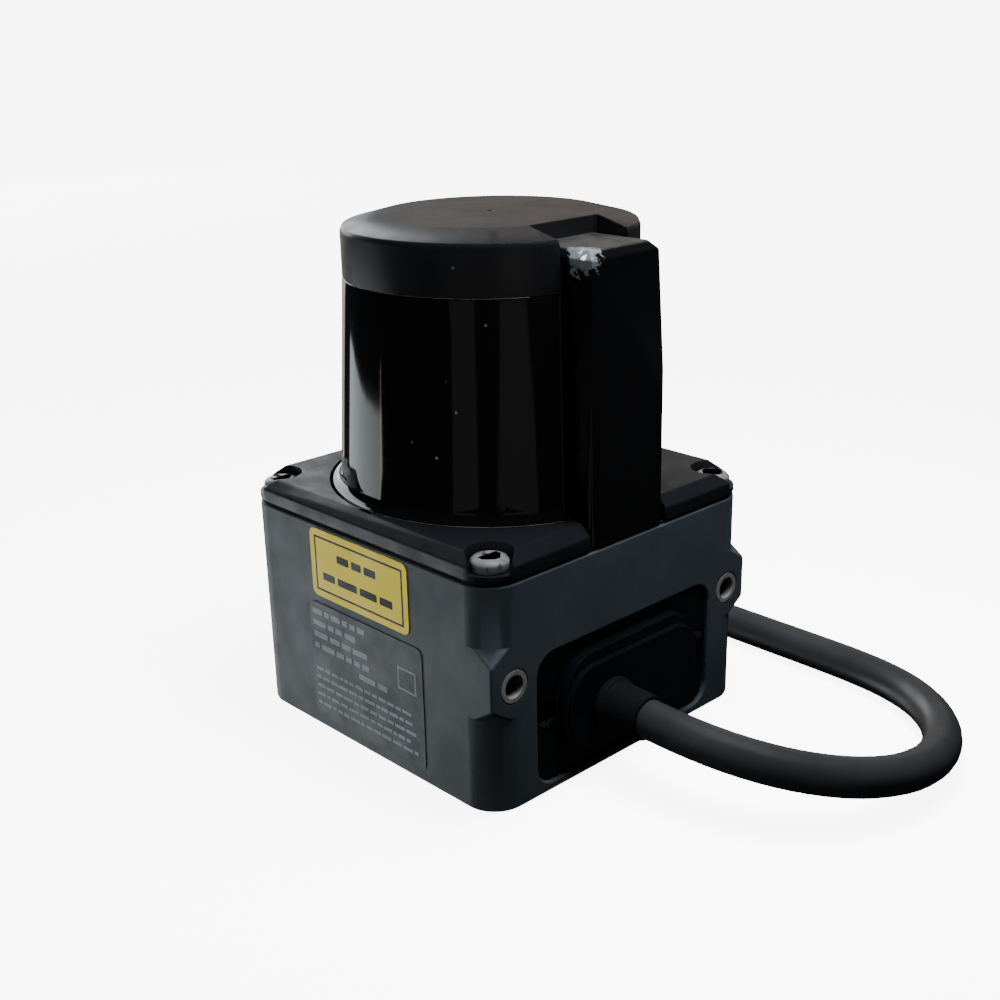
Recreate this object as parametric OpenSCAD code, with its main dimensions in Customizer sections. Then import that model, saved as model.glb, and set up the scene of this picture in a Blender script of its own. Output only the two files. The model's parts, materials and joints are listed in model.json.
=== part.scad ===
// Two-dimensional scanning lidar module with its cable, in millimetres.
// Origin: centre of the base's underside, on the scan axis. +X is the middle of the
// scan field, +Z is up, and the cable leaves the rear face at -X.

/* [Housing] */
// Width and depth of the square housing
body_w = 50; // [50:0.5:51]
// Height of the cast housing, up to the seam
housing_h = 31; // [31:0.1:31.4]
// Radius of the vertical corners
corner_r = 4.6; // [4:0.1:5]
// Distance between the two rear fixing holes
lug_pitch = 42.2; // [42:0.1:42.4]
// Height of the rear fixing holes above the base
lug_z = 17.4; // [17:0.1:17.8]

/* [Optical window] */
// Outer radius of the window just above its foot
window_r = 21.5; // [21.3:0.1:21.7]
// Outer radius of the window at the cap
window_top_r = 19.9; // [19.8:0.1:20.1]
// Height of the joint between window and cap
window_top_z = 63; // [63:0.1:63.2]
// Overall height
top_z = 70.8; // [70.6:0.1:71]
// Thickness of the moulded window
window_t = 1.5; // [1.4:0.1:1.6]

/* [Rear panel] */
// Width of the recess that the panel sits in
recess_w = 34.1; // [34:0.1:34.3]
// Height of the recess
recess_h = 18.6; // [18.4:0.1:18.7]
// Height of the panel's centre above the base
panel_z = 10.5; // [10.4:0.1:10.6]

/* [Scanner] */
// Height of the receiving mirror's centre
rx_z = 45; // [44.9:0.1:45.1]
// Height of the sending mirror's centre
tx_z = 59.2; // [59.1:0.1:59.3]
// Number of balls in each bearing
ball_count = 11; // [9:1:12]
// Number of wound teeth on the stator
tooth_count = 9; // [6:3:12]

/* [Cable] */
// Diameter of the cable
cable_d = 5.2; // [5:0.1:5.2]

/* [Hidden] */

eps = 0.01;
round_fn = 96;
small_fn = 48;

// Housing
wall = 2;
floor_t = 2.5;
half_w = body_w / 2;
inner_half = half_w - wall;
pillar_half = 17.5;
rear_wall_x = -half_w + 4;
panel_zone_top = 20.6;
screw_xy = 21.5;
lug_y = lug_pitch / 2;
lug_hole_r = 2.2;
lug_hole_depth = 6;
lug_low = 13.2;
lug_flat_low = 15.2;
lug_flat_high = 21;
lug_high = 22.9;
stack_x = 15.8;
stack_y = 13.6;
stack_boss_r = 2.8;

// Seam and flange
gasket_t = 0.4;
flange_z = housing_h + gasket_t;
flange_side_top = 33.2;
flange_top = 34.7;
flange_chamfer = 1.4;
pocket_floor = 32.3;
pocket_r = 2.95;
pocket_mouth = 5.4;
cover_head_r = 2.45;
cover_head_h = 1.7;
cover_shank_r = 1.25;
cover_hole_r = 1.35;
cover_tap_r = 1.3;
cover_screw_len = 8;

// Window
foot_r = 22.9;
window_bore_r = window_r - window_t;
spine_half = 7.2;
spine_top_half = 6.1;
spine_edge_r = 1.6;
spine_lean = 1;
spine_lean_z = 42;
spine_inner_x = -13.7;
spine_fit = 0.1;
lip_r = 23.9;
lip_top = 33;
flange_hole_r = 23.05;
spine_chamfer_z = 67.6;
spine_top_z = 68.65;
notch_x = -13.5;
notch_half = 6.2;
notch_floor = 66.9;
channel_half = 4.6;
channel_x0 = -23.4;
channel_x1 = -21.4;
flex_gap_z = 59.4;

// Cap
cap_rim_z = 68.9;
cap_edge_h = 0.7;
cap_flat_r = 15;
cap_spigot_z = 61.8;
cap_wall = 1.5;
cap_room_r = 12.8;
cap_room_z = 65.6;
cap_roof = 1.6;

// Rear panel
panel_gap = 0.25;
recess_depth = 2.65;
panel_face_x = -half_w + 0.55;
panel_t = 1.6;
panel_seal_t = 0.5;
panel_corner_r = 2.8;
panel_screw_y = 14.95;
panel_screw_z = 10.8;
panel_screw_head_r = 1.7;
panel_screw_shank_r = 0.95;
boss_half = 13;
boss_low = 4.2;
boss_high = 17.8;
boss_face_x = -26.6;
window_half = 13;
window_low = 4.4;
window_high = 17.4;

// Boards and the screws that clamp them
lower_board_z = 4.5;
board_t = 1.4;
main_board_z = 14;
motor_base_z = 18.5;
motor_base_t = 2;
motor_base_top = motor_base_z + motor_base_t;
stack_shank_r = 1;
stack_hole_r = 1.05;
stack_head_r = 1.9;
board_y = 16.9;
board_x0 = -20.6;
board_x1 = 22.6;

// Bearings, 15 x 21 x 4 mm
shaft_r = 7.5;
shaft_bore = 6.2;
bearing_r = 10.5;
bearing_h = 4;
ball_pitch_r = 9;
ball_r = 0.97;
groove_r = 1.02;
race_gap = 0.5;
lower_bearing_z = 20.8;
upper_bearing_z = 25.1;
bearing_tube_r = 12.4;
bearing_tube_top = 29.2;

// Motor
stator_r = 18.2;
stator_z0 = 24;
stator_z1 = 28;
magnet_r0 = 18.7;
bell_r0 = 20.1;
bell_r1 = 21.3;
bell_z0 = 23;
bell_disc_z = 29.8;
bell_top = 30.9;
encoder_r = 22.2;
encoder_t = 0.4;

// Rotor head
hub_z = 33;
hub_top = 34.5;
hub_r = 12.4;
head_r = 12;
head_base_top = 36.6;
head_top = 55;
rx_mirror_t = 1.2;
rx_mirror_r = 7.8;
tx_mirror_t = 0.8;
tx_mirror_r = 2.4;
lens_seat_r = 8.4;
baffle_r = 17.4;
baffle_t = 0.5;
tx_column_r = 3.6;

// Laser in the cap
collimator_r = 4.4;
collimator_z0 = 62.6;
collimator_z1 = 66.2;
laser_board_z = 66.9;
laser_board_r = 12.4;

// Cable
cable_r = cable_d / 2;
tie_t = 0.6;
relief_len = 6.4;
coil_x = 51.4;
coil_y = -48.2;
coil_r = 26;
coil_low = tie_t;
coil_high = tie_t + 2 * cable_d;
nut_r = 6;
run_points = [
    [-33, 5, 9.7], [-38.5, 5, 9.5], [-46.8, 3.3, 8.7], [-53.8, -1.4, 7.3], [-58.6, -8.4, 5.7],
    [-60.2, -16.7, 4.3], [-58.6, -25, 3.4], [-53.8, -32, 2.9], [-46.8, -36.8, 2.7], [-38.5, -38.4, 2.7],
    [-28, -38.4, 2.7], [-17, -38.4, 2.7], [-8, -38.4, 2.7], [-0.5, -38.4, 2.7], [7.6, -39.7, 2.8],
    [14.8, -43.4, 2.9], [20.5, -49.3, 3.1], [24.1, -56.6, 3.2]
];
// The coil's last turn lifts off the others here and comes round over them to the plug
lift_from = 3;
lift_to = 103;
lift_h = 5.3;
lift_r = coil_r + cable_r;
end_points = concat(
    [for (a = [lift_from : 20 : 183])
        [
            coil_x + lift_r * cos(a),
            coil_y + lift_r * sin(a),
            coil_high - cable_r
                + lift_h * (0.5 - 0.5 * cos(180 * min(1, (a - lift_from) / (lift_to - lift_from))))
        ]],
    [
        [25.4, -59.2, 14.3], [31.1, -66.5, 15], [37.9, -70.7, 15.7], [44.4, -72.5, 16.1], [50, -73, 16.2]
    ]
);
tube_sides = 10;

// ---- helpers -------------------------------------------------------------

// Square with rounded corners
module rounded_rect(w, h, r) {
    for (sx = [-1, 1], sy = [-1, 1])
        translate([sx * (w / 2 - r), sy * (h / 2 - r)]) circle(r, $fn = small_fn);
    square([w - 2 * r, h], center = true);
    square([w, h - 2 * r], center = true);
}

// Copies at the four corners of a rectangle
module at_corners(x, y) {
    for (sx = [-1, 1], sy = [-1, 1]) translate([sx * x, sy * y, 0]) children();
}

// Things drawn in plan on a plane that faces -X, with the drawing's x along +Y
module on_rear(x) {
    translate([x, 0, 0]) rotate([90, 0, 90]) children();
}

module ring(r0, r1, h) {
    difference() {
        cylinder(r = r1, h = h, $fn = round_fn);
        translate([0, 0, -eps]) cylinder(r = r0, h = h + 2 * eps, $fn = round_fn);
    }
}

// Crossed slots of a screw's drive, sunk into a head whose top is at z = 0
module cross_drive(r, depth) {
    slot_w = r * 0.42;
    translate([0, 0, -depth / 2 + eps]) {
        cube([2 * r, slot_w, depth], center = true);
        cube([slot_w, 2 * r, depth], center = true);
    }
}

// Pan-head screw hanging down from z = 0, the underside of its head
module pan_screw(head_r, head_h, shank_r, length) {
    crown = head_h * 0.35;
    difference() {
        rotate_extrude($fn = small_fn)
            polygon([
                [0, -length], [shank_r, -length], [shank_r, 0], [head_r, 0],
                [head_r, head_h - crown], [head_r * 0.86, head_h - crown * 0.35],
                [head_r * 0.6, head_h], [0, head_h]
            ]);
        translate([0, 0, head_h]) cross_drive(head_r * 0.56, head_h * 0.55);
    }
}

// Board outline that clears the housing's corner pillars
module board_plate(t) {
    difference() {
        translate([board_x0, -board_y, 0]) cube([board_x1 - board_x0, 2 * board_y, t]);
        at_corners(stack_x, stack_y)
            translate([0, 0, -eps]) cylinder(r = stack_hole_r, h = t + 2 * eps, $fn = small_fn);
    }
}

// ---- tube swept along a list of points ------------------------------------

function unit(v) = v / norm(v);
function tangent(p, i) = unit(p[min(i + 1, len(p) - 1)] - p[max(i - 1, 0)]);
function spline_mid(p, i) =
    let (a = p[max(i - 1, 0)], b = p[i], c = p[i + 1], d = p[min(i + 2, len(p) - 1)])
    (9 * (b + c) - a - d) / 16;
function refined(p) = concat(
    [for (i = [0 : len(p) - 2], half = [0, 1]) half == 0 ? p[i] : spline_mid(p, i)],
    [p[len(p) - 1]]
);
function ring_points(p, i, r) =
    let (t = tangent(p, i), side = unit(cross(t, [0, 0, 1])), up = cross(side, t))
    [for (k = [0 : tube_sides - 1])
        p[i] + r * (cos(360 * k / tube_sides) * side + sin(360 * k / tube_sides) * up)];

module tube(route, r) {
    p = refined(route);
    last = len(p) - 1;
    n = tube_sides;
    points = [for (i = [0 : last]) each ring_points(p, i, r)];
    sides = [for (i = [0 : last - 1], k = [0 : n - 1])
        [i * n + k, (i + 1) * n + k, (i + 1) * n + (k + 1) % n, i * n + (k + 1) % n]];
    near_cap = [[for (k = [0 : n - 1]) k]];
    far_cap = [[for (k = [0 : n - 1]) last * n + n - 1 - k]];
    polyhedron(points = points, faces = concat(sides, near_cap, far_cap), convexity = 8);
}

// ---- housing ---------------------------------------------------------------

// One rear fixing lug: a bevelled block that squares off a rounded corner
module lug_block(side) {
    corner_d = half_w * sqrt(2);
    round_d = (half_w - corner_r) * sqrt(2) + corner_r;
    inner_d = round_d - 5;
    reach = corner_d - round_d;
    intersection() {
        translate([-half_w, side > 0 ? half_w - 8 : -half_w, lug_low - 5]) cube([8, 8, 20]);
        rotate([0, 0, side > 0 ? 135 : -135])
            rotate([90, 0, 0])
                linear_extrude(height = 20, center = true)
                    polygon([
                        [inner_d, lug_low], [round_d - 0.1, lug_low], [corner_d + eps, lug_low + reach],
                        [corner_d + eps, lug_high - reach], [round_d - 0.1, lug_high], [inner_d, lug_high]
                    ]);
    }
}

module base_housing() {
    color([0.09, 0.11, 0.14])
    difference() {
        union() {
            linear_extrude(height = housing_h) rounded_rect(body_w, body_w, corner_r);
            for (side = [-1, 1]) lug_block(side);
        }
        // Room inside, leaving the corner pillars and the thick rear wall
        difference() {
            translate([0, 0, floor_t]) union() {
                translate([rear_wall_x, -pillar_half, 0])
                    cube([inner_half - rear_wall_x, 2 * pillar_half, housing_h]);
                translate([-pillar_half, -inner_half, 0])
                    cube([2 * pillar_half, 2 * inner_half, housing_h]);
                translate([-inner_half, -pillar_half, panel_zone_top - floor_t])
                    cube([wall * 2, 2 * pillar_half, housing_h]);
            }
            at_corners(stack_x, stack_y)
                cylinder(r = stack_boss_r, h = lower_board_z, $fn = small_fn);
            for (side = [-1, 1])
                translate([rear_wall_x - eps, side * panel_screw_y, panel_screw_z])
                    rotate([0, 90, 0]) cylinder(r = 2, h = 2.6, $fn = small_fn);
        }
        // Threads for the cover screws, the board stack and the rear panel
        at_corners(screw_xy, screw_xy)
            translate([0, 0, housing_h - cover_screw_len])
                cylinder(r = cover_tap_r, h = cover_screw_len + eps, $fn = small_fn);
        at_corners(stack_x, stack_y)
            translate([0, 0, 1]) cylinder(r = stack_hole_r, h = lower_board_z, $fn = small_fn);
        for (side = [-1, 1])
            translate([-half_w, side * panel_screw_y, panel_screw_z])
                rotate([0, 90, 0]) cylinder(r = panel_screw_shank_r + 0.05, h = 6, $fn = small_fn);
        // Rear recess and the opening behind it
        on_rear(-half_w - eps) translate([0, panel_z])
            linear_extrude(height = recess_depth + eps)
                rounded_rect(recess_w, recess_h, panel_corner_r + 0.2);
        on_rear(-half_w) translate([0, (window_low + window_high) / 2])
            linear_extrude(height = 4.5)
                rounded_rect(2 * window_half, window_high - window_low, 2);
        // Seats of the lug inserts
        for (side = [-1, 1])
            translate([-half_w - eps, side * lug_y, lug_z])
                rotate([0, 90, 0]) cylinder(r = lug_hole_r, h = lug_hole_depth + eps, $fn = small_fn);
    }
}

module lug_inserts() {
    color([0.72, 0.7, 0.66])
    for (side = [-1, 1])
        translate([-half_w, side * lug_y, lug_z]) rotate([0, 90, 0])
            difference() {
                cylinder(r = lug_hole_r, h = lug_hole_depth, $fn = small_fn);
                translate([0, 0, -eps]) cylinder(r = 1.5, h = lug_hole_depth + 2 * eps, $fn = small_fn);
            }
}

// ---- seam, window and cap -----------------------------------------------------

module window_gasket() {
    color([0.03, 0.03, 0.03])
    translate([0, 0, housing_h]) difference() {
        linear_extrude(height = gasket_t) rounded_rect(body_w - 0.6, body_w - 0.6, corner_r - 0.3);
        translate([0, 0, -eps]) linear_extrude(height = 1) union() {
            square([2 * inner_half, 2 * pillar_half], center = true);
            square([2 * pillar_half, 2 * inner_half], center = true);
        }
        at_corners(screw_xy, screw_xy)
            translate([0, 0, -eps]) cylinder(r = cover_hole_r, h = 1, $fn = small_fn);
    }
}

// Outer form of the spine that closes the blind sector, with its draft and top chamfer
module spine_form(gap) {
    half = spine_half + gap;
    depth = half_w + spine_inner_x;
    intersection() {
        translate([-half_w, 0, flange_z])
            linear_extrude(height = spine_top_z - flange_z)
                union() {
                    translate([depth / 2, 0]) rounded_rect(depth, 2 * half, spine_edge_r);
                    translate([depth / 2, -half]) square([depth / 2, 2 * half]);
                }
        on_rear(-half_w - 1)
            linear_extrude(height = half_w)
                polygon([
                    [-half, flange_z], [half, flange_z], [half, flange_top + 2],
                    [spine_top_half, spine_chamfer_z], [spine_top_half - 0.9, spine_top_z],
                    [-spine_top_half + 0.9, spine_top_z], [-spine_top_half, spine_chamfer_z],
                    [-half, flange_top + 2]
                ]);
        rotate([90, 0, 0])
            linear_extrude(height = body_w, center = true)
                polygon([
                    [-half_w, flange_z], [-half_w, spine_lean_z], [-half_w + spine_lean, spine_chamfer_z],
                    [-half_w + spine_lean + 1.1, spine_top_z], [0, spine_top_z], [0, flange_z]
                ]);
    }
}

// Side view of the space under the flange's top and its chamfers
module flange_roof() {
    reach = 6;
    eaves_z = flange_side_top - reach * (flange_top - flange_side_top) / flange_chamfer;
    polygon([
        [-half_w - reach, eaves_z], [half_w + reach, eaves_z], [half_w - flange_chamfer, flange_top],
        [-half_w + flange_chamfer, flange_top]
    ]);
}

// Square frame that clamps the window's lip, open at the rear for the spine
module top_flange() {
    color([0.06, 0.06, 0.065])
    difference() {
        intersection() {
            translate([0, 0, flange_z])
                linear_extrude(height = flange_top - flange_z + 1) rounded_rect(body_w, body_w, corner_r);
            rotate([90, 0, 0]) linear_extrude(height = 2 * body_w, center = true) flange_roof();
            rotate([90, 0, 90]) linear_extrude(height = 2 * body_w, center = true) flange_roof();
        }
        translate([0, 0, flange_z - eps]) cylinder(r = flange_hole_r, h = 5, $fn = round_fn);
        translate([0, 0, flange_z - eps])
            cylinder(r = lip_r + 0.1, h = lip_top - flange_z + eps, $fn = round_fn);
        translate([-half_w - 1, -spine_half - spine_fit, flange_z - eps])
            cube([8, 2 * (spine_half + spine_fit), 5]);
        // Screw pockets that open out at the corners, and the screw holes
        at_corners(screw_xy, screw_xy) {
            translate([0, 0, pocket_floor]) cylinder(r = pocket_r, h = 5, $fn = small_fn);
            translate([0, 0, flange_z - eps]) cylinder(r = cover_hole_r, h = 3, $fn = small_fn);
        }
        for (turn = [45 : 90 : 315])
            rotate([0, 0, turn])
                translate([screw_xy * sqrt(2), -pocket_mouth / 2, pocket_floor])
                    cube([6, pocket_mouth, 5]);
        // Moulding dimples in the two side rims
        for (side = [-1, 1])
            translate([0, side * 23.35, flange_top])
                linear_extrude(height = 0.5, center = true) rounded_rect(2.4, 0.5, 0.2);
    }
}

// Profile of the window's outer surface, closed on the axis
module window_profile() {
    fillet_r = foot_r - window_r;
    fillet_steps = 6;
    polygon(concat(
        [[0, flange_z], [lip_r, flange_z], [lip_r, lip_top], [foot_r, lip_top]],
        [for (i = [0 : fillet_steps])
            let (a = 90 * i / fillet_steps)
            [foot_r - fillet_r * sin(a), flange_top + fillet_r * (1 - cos(a))]],
        [[window_top_r, window_top_z], [0, window_top_z]]
    ));
}

// Infrared window with the spine, moulded in one piece
module scan_window() {
    color([0.02, 0.02, 0.02])
    difference() {
        union() {
            rotate_extrude($fn = round_fn) window_profile();
            difference() {
                spine_form(0);
                // The cap sits here, under the spine's top tab
                translate([0, 0, window_top_z])
                    cylinder(r = window_top_r + 0.05, h = notch_floor - window_top_z + 0.05, $fn = round_fn);
            }
        }
        // Inside of the dome
        rotate_extrude($fn = round_fn)
            polygon([
                [0, flange_z - eps], [window_bore_r, flange_z - eps], [window_bore_r, flange_top + 1.6],
                [window_top_r - window_t, window_top_z + eps], [0, window_top_z + eps]
            ]);
        // Channel for the flat cable, and the slot where it enters
        translate([channel_x0, -channel_half, flange_z - eps])
            cube([channel_x1 - channel_x0, 2 * channel_half, window_top_z - flange_z - 1]);
        translate([channel_x0, -channel_half, flex_gap_z])
            cube([6, 2 * channel_half, window_top_z - flex_gap_z - 1]);
    }
}

module cover_screws() {
    color([0.6, 0.6, 0.58])
    at_corners(screw_xy, screw_xy)
        translate([0, 0, pocket_floor])
            pan_screw(cover_head_r, cover_head_h, cover_shank_r, cover_screw_len);
}

module top_cap() {
    spigot_r = window_top_r - window_t - 0.1;
    color([0.05, 0.05, 0.055])
    difference() {
        rotate_extrude($fn = round_fn)
            polygon([
                [0, top_z], [cap_flat_r, top_z], [window_top_r - 0.3, cap_rim_z + cap_edge_h],
                [window_top_r, cap_rim_z], [window_top_r, window_top_z], [spigot_r, window_top_z],
                [spigot_r, cap_spigot_z], [spigot_r - cap_wall, cap_spigot_z],
                [spigot_r - cap_wall, cap_room_z], [cap_room_r, cap_room_z],
                [cap_room_r, top_z - cap_roof], [0, top_z - cap_roof]
            ]);
        // Notch for the spine's top tab
        translate([-body_w, -notch_half, notch_floor])
            cube([body_w + notch_x + 0.1, 2 * notch_half, 10]);
        // Threads for the laser board, and the centre mark
        for (side = [-1, 1])
            translate([0, side * 10.4, top_z - cap_roof - eps])
                cylinder(r = 0.85, h = 1, $fn = small_fn);
        translate([0, 0, top_z - 0.4]) cylinder(r = 0.4, h = 1, $fn = small_fn);
    }
    // Posts that the laser board hangs from
    color([0.05, 0.05, 0.055])
    for (side = [-1, 1])
        translate([0, side * 10.4, 0]) difference() {
            translate([0, 0, laser_board_z + 0.8])
                cylinder(r = 1.6, h = top_z - cap_roof - laser_board_z - 0.8 + eps, $fn = small_fn);
            translate([0, 0, laser_board_z]) cylinder(r = 0.85, h = 3, $fn = small_fn);
        }
}

// ---- labels ---------------------------------------------------------------------

module label(x0, x1, z0, z1, t) {
    translate([(x0 + x1) / 2, half_w, (z0 + z1) / 2]) rotate([-90, 0, 0])
        linear_extrude(height = t) rounded_rect(x1 - x0, z1 - z0, 1.1);
}

module warning_label() {
    color([0.9, 0.74, 0.1]) label(-9.95, 10.4, 20.6, 30.5, 0.12);
}

module data_label() {
    color([0.07, 0.07, 0.08]) label(-12.2, 11.6, 1.8, 19.4, 0.12);
}

// ---- rear panel --------------------------------------------------------------------

module panel_outline(gap) {
    translate([0, panel_z])
        rounded_rect(recess_w - 2 * gap, recess_h - 2 * gap, panel_corner_r);
}

module rear_panel() {
    boss_mid = (boss_low + boss_high) / 2;
    relief = run_points[0];
    color([0.08, 0.09, 0.11])
    difference() {
        union() {
            on_rear(panel_face_x) linear_extrude(height = panel_t) panel_outline(panel_gap);
            on_rear(boss_face_x)
                translate([0, boss_mid - 0.5])
                    linear_extrude(height = panel_face_x - boss_face_x + eps)
                        rounded_rect(2 * boss_half - 0.8, boss_high - boss_low - 2.2, 4.6);
            on_rear(boss_face_x + 0.7)
                translate([0, boss_mid])
                    linear_extrude(height = panel_face_x - boss_face_x - 0.7 + eps)
                        rounded_rect(2 * boss_half, boss_high - boss_low, 5.4);
        }
        for (side = [-1, 1])
            translate([panel_face_x, side * panel_screw_y, panel_screw_z]) rotate([0, 90, 0]) {
                translate([0, 0, -eps]) cylinder(r = 1.05, h = 3, $fn = small_fn);
                translate([0, 0, -eps])
                    cylinder(r1 = panel_screw_head_r + 0.1, r2 = 1.05, h = 1.1, $fn = small_fn);
            }
        translate([boss_face_x - 1, relief[1], relief[2]])
            rotate([0, 90, 0]) cylinder(r = 3.05, h = 6, $fn = small_fn);
    }
}

module panel_gasket() {
    color([0.05, 0.05, 0.05])
    on_rear(panel_face_x + panel_t)
        difference() {
            linear_extrude(height = panel_seal_t) panel_outline(panel_gap + 0.05);
            translate([0, (window_low + window_high) / 2, -eps])
                linear_extrude(height = 1) rounded_rect(2 * window_half, window_high - window_low, 2);
            for (side = [-1, 1])
                translate([side * panel_screw_y, panel_screw_z, -eps])
                    cylinder(r = panel_screw_shank_r + 0.1, h = 1, $fn = small_fn);
        }
}

module panel_screws() {
    color([0.1, 0.1, 0.1])
    for (side = [-1, 1])
        translate([panel_face_x, side * panel_screw_y, panel_screw_z]) rotate([0, 90, 0])
            difference() {
                union() {
                    cylinder(r1 = panel_screw_head_r, r2 = panel_screw_shank_r, h = 1.05, $fn = small_fn);
                    cylinder(r = panel_screw_shank_r, h = 5.4, $fn = small_fn);
                }
                rotate([180, 0, 0]) cross_drive(1.05, 0.6);
            }
}

// Moulded rubber sleeve: a collar on the boss, a taper, and a stem through the panel
module strain_relief() {
    relief = run_points[0];
    tip_x = relief[0];
    base_x = tip_x + relief_len;
    inner_x = panel_face_x + panel_t;
    color([0.03, 0.03, 0.03])
    translate([0, relief[1], relief[2]]) rotate([0, 90, 0])
        rotate_extrude($fn = small_fn)
            polygon([
                [0, tip_x], [cable_r + 0.35, tip_x], [cable_r + 0.5, tip_x + 0.2], [3.3, base_x - 1.2],
                [3.7, base_x - 1], [3.7, base_x], [3, base_x], [3, inner_x], [4.2, inner_x],
                [4.2, inner_x + 1.2], [0, inner_x + 1.2]
            ]);
}

// ---- boards ----------------------------------------------------------------------------

module interface_board() {
    color([0.05, 0.3, 0.18]) translate([0, 0, lower_board_z]) board_plate(board_t);
}

// Power and network parts of the lower board
module interface_parts() {
    top = lower_board_z + board_t;
    color([0.15, 0.15, 0.16]) {
        translate([2, -7, top]) cube([10, 12, 5.2]);
        translate([-8, -9, top]) cube([6, 6, 3]);
        translate([14.5, -3, top]) cube([5, 5, 1.2]);
        for (k = [0 : 2])
            translate([-4 + 6.4 * k, 11, top]) cylinder(r = 2.5, h = 5.4, $fn = small_fn);
    }
}

module cable_header() {
    color([0.86, 0.84, 0.78])
    difference() {
        translate([-16.5, 0, lower_board_z + board_t]) cube([5.5, 10, 6]);
        translate([-16.5 - eps, 1, lower_board_z + board_t + 1.5]) cube([3, 8, 3.4]);
    }
}

// The jacketed cable inside the housing, flattened into the plug that fits the header
module inner_leads() {
    relief = run_points[0];
    start_x = panel_face_x + panel_t + 1.2;
    color([0.2, 0.2, 0.21])
    union() {
        translate([start_x, relief[1], relief[2]]) rotate([0, 90, 0])
            cylinder(r = cable_r - 0.2, h = 2.6, $fn = small_fn);
        translate([start_x + 2.4, 1, lower_board_z + board_t + 1.5]) cube([4.6, 8, 3]);
    }
}

module spacers(z0, z1) {
    at_corners(stack_x, stack_y)
        translate([0, 0, z0]) difference() {
            cylinder(r = 2.3, h = z1 - z0, $fn = 6);
            translate([0, 0, -eps]) cylinder(r = stack_hole_r, h = z1 - z0 + 2 * eps, $fn = small_fn);
        }
}

module lower_spacers() {
    color([0.78, 0.68, 0.4]) spacers(lower_board_z + board_t, main_board_z);
}

module main_board() {
    color([0.05, 0.3, 0.18]) translate([0, 0, main_board_z]) board_plate(board_t);
}

// Processor, memory and driver chips, on the upper side
module main_board_parts() {
    top = main_board_z + board_t;
    color([0.1, 0.1, 0.11]) {
        translate([-8, -6, top]) cube([12, 12, 1.2]);
        translate([7, -5, top]) cube([6, 8, 1]);
        translate([-6, -14.5, top]) cube([8, 5, 1]);
        translate([-5, 11, top]) cube([5, 5, 1]);
        translate([-3, 6.4, top]) cube([6, 2, motor_base_z - 1 - top]);
        for (k = [0 : 3]) translate([4 + 2.2 * k, 11, top]) cube([1.2, 2, 0.9]);
    }
}

module upper_spacers() {
    color([0.78, 0.68, 0.4]) spacers(main_board_z + board_t, motor_base_z);
}

module stack_screws() {
    color([0.66, 0.66, 0.66])
    at_corners(stack_x, stack_y)
        translate([0, 0, motor_base_top]) pan_screw(stack_head_r, 1.3, stack_shank_r, 18.5);
}

// ---- motor ---------------------------------------------------------------------------------

module motor_base() {
    plate_x0 = -19.6;
    color([0.62, 0.63, 0.65])
    difference() {
        union() {
            translate([plate_x0, -board_y, motor_base_z])
                cube([board_x1 - plate_x0, 2 * board_y, motor_base_t]);
            translate([-pillar_half + 0.6, -inner_half + 0.6, motor_base_z])
                cube([2 * pillar_half - 1.2, 2 * inner_half - 1.2, motor_base_t]);
            translate([0, 0, motor_base_z])
                cylinder(r = bearing_tube_r, h = bearing_tube_top - motor_base_z, $fn = round_fn);
        }
        translate([0, 0, lower_bearing_z]) cylinder(r = bearing_r, h = 20, $fn = round_fn);
        translate([0, 0, motor_base_z - eps]) cylinder(r = 8.4, h = 5, $fn = round_fn);
        at_corners(stack_x, stack_y)
            translate([0, 0, motor_base_z - eps]) cylinder(r = stack_hole_r, h = 5, $fn = small_fn);
        // Slot for the flat cable
        translate([-20, -channel_half, motor_base_z - eps]) cube([3.2, 2 * channel_half, 5]);
    }
}

module detector_board() {
    color([0.05, 0.3, 0.18])
    translate([0, 0, motor_base_z - 1]) cylinder(r = 10, h = 1, $fn = round_fn);
}

// Light sensor in its metal can, looking up the hollow shaft
module photodetector() {
    color([0.7, 0.62, 0.4])
    translate([0, 0, motor_base_z])
        rotate_extrude($fn = small_fn)
            polygon([[0, 0], [4.6, 0], [4.6, 0.4], [4.1, 0.4], [4.1, 2.6], [2.2, 2.6], [2.2, 2.3], [0, 2.3]]);
}

module stator_core() {
    tooth_w = 3;
    color([0.45, 0.46, 0.48])
    translate([0, 0, stator_z0])
        difference() {
            linear_extrude(height = stator_z1 - stator_z0)
                difference() {
                    union() {
                        circle(bearing_tube_r + 1.4, $fn = round_fn);
                        for (k = [0 : tooth_count - 1])
                            rotate(360 * k / tooth_count) {
                                translate([bearing_tube_r, -tooth_w / 2])
                                    square([stator_r - bearing_tube_r - 1, tooth_w]);
                                intersection() {
                                    difference() {
                                        circle(stator_r, $fn = round_fn);
                                        circle(stator_r - 1.1, $fn = round_fn);
                                    }
                                    translate([10, -tooth_w]) square([12, 2 * tooth_w]);
                                }
                            }
                    }
                    circle(bearing_tube_r, $fn = round_fn);
                }
        }
}

// One winding a tooth, as a rounded block with the tooth's slot through it
module stator_coils() {
    coil_x0 = bearing_tube_r + 1.5;
    coil_x1 = stator_r - 1.4;
    core_h = stator_z1 - stator_z0;
    color([0.75, 0.38, 0.16])
    for (k = [0 : tooth_count - 1])
        rotate([0, 0, 360 * k / tooth_count])
            translate([coil_x0, 0, (stator_z0 + stator_z1) / 2]) rotate([90, 0, 90])
                linear_extrude(height = coil_x1 - coil_x0)
                    difference() {
                        rounded_rect(4.6, core_h + 1.6, 0.7);
                        square([3.02, core_h + 0.02], center = true);
                    }
}

module encoder_sensor() {
    color([0.06, 0.06, 0.07])
    translate([19.2, -2, motor_base_top]) cube([3.2, 4, 1.5]);
}

// ---- bearings --------------------------------------------------------------------------------

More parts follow.
